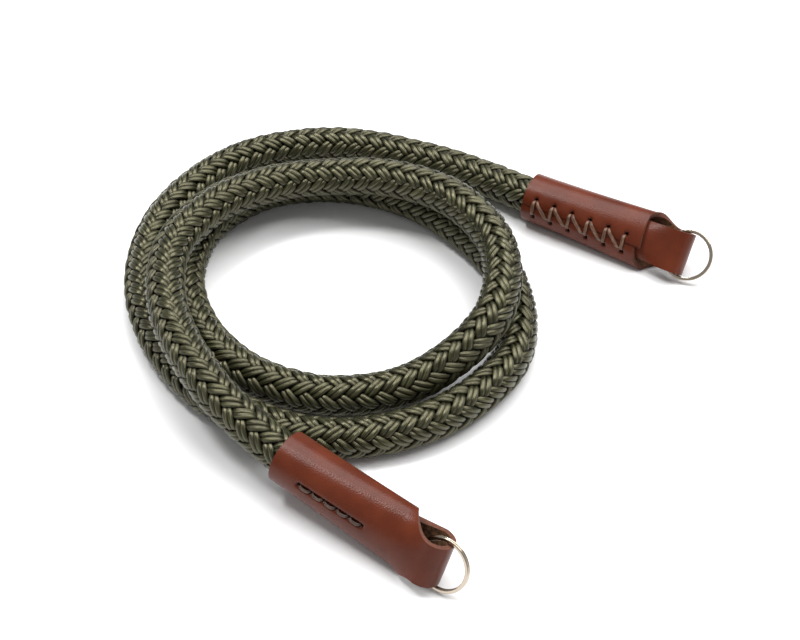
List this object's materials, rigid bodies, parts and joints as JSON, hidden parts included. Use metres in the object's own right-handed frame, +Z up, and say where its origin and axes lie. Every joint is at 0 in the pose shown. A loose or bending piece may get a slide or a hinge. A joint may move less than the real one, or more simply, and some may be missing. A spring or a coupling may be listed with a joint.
{
  "type": "rope camera strap",
  "caption": "Round braided rope strap lying in a loose coil, with folded leather end sleeves and split rings for a camera's strap lugs.",
  "frame": {"origin": "on the table, under the middle of the box round the two sleeves and their rings", "axes": "+Z up from the table, +Y away from the viewer, +X to the viewer's right"},
  "size_m": [0.1837, 0.1842, 0.0245],
  "materials": {
    "rope": "matte",
    "leather": "satin",
    "steel": "polished"
  },
  "bodies": {
    "strap": {"rope": "rope", "sleeve_near": "leather", "sleeve_far": "leather"},
    "near_ring": {"ring_near": "steel"},
    "far_ring": {"ring_far": "steel"}
  },
  "joints": [
    {"name": "near_ring_swing", "type": "hinge", "parent": "strap", "child": "near_ring", "pos_m": [-0.02356, -0.06984, 0.00841], "axis": [0.3187, 0.289, 0.9027], "range_deg": [-60, 60]},
    {"name": "far_ring_swing", "type": "hinge", "parent": "strap", "child": "far_ring", "pos_m": [0.05476, 0.04761, 0.0074], "axis": [-0.3267, -0.5613, -0.7604], "range_deg": [-60, 60]}
  ]
}
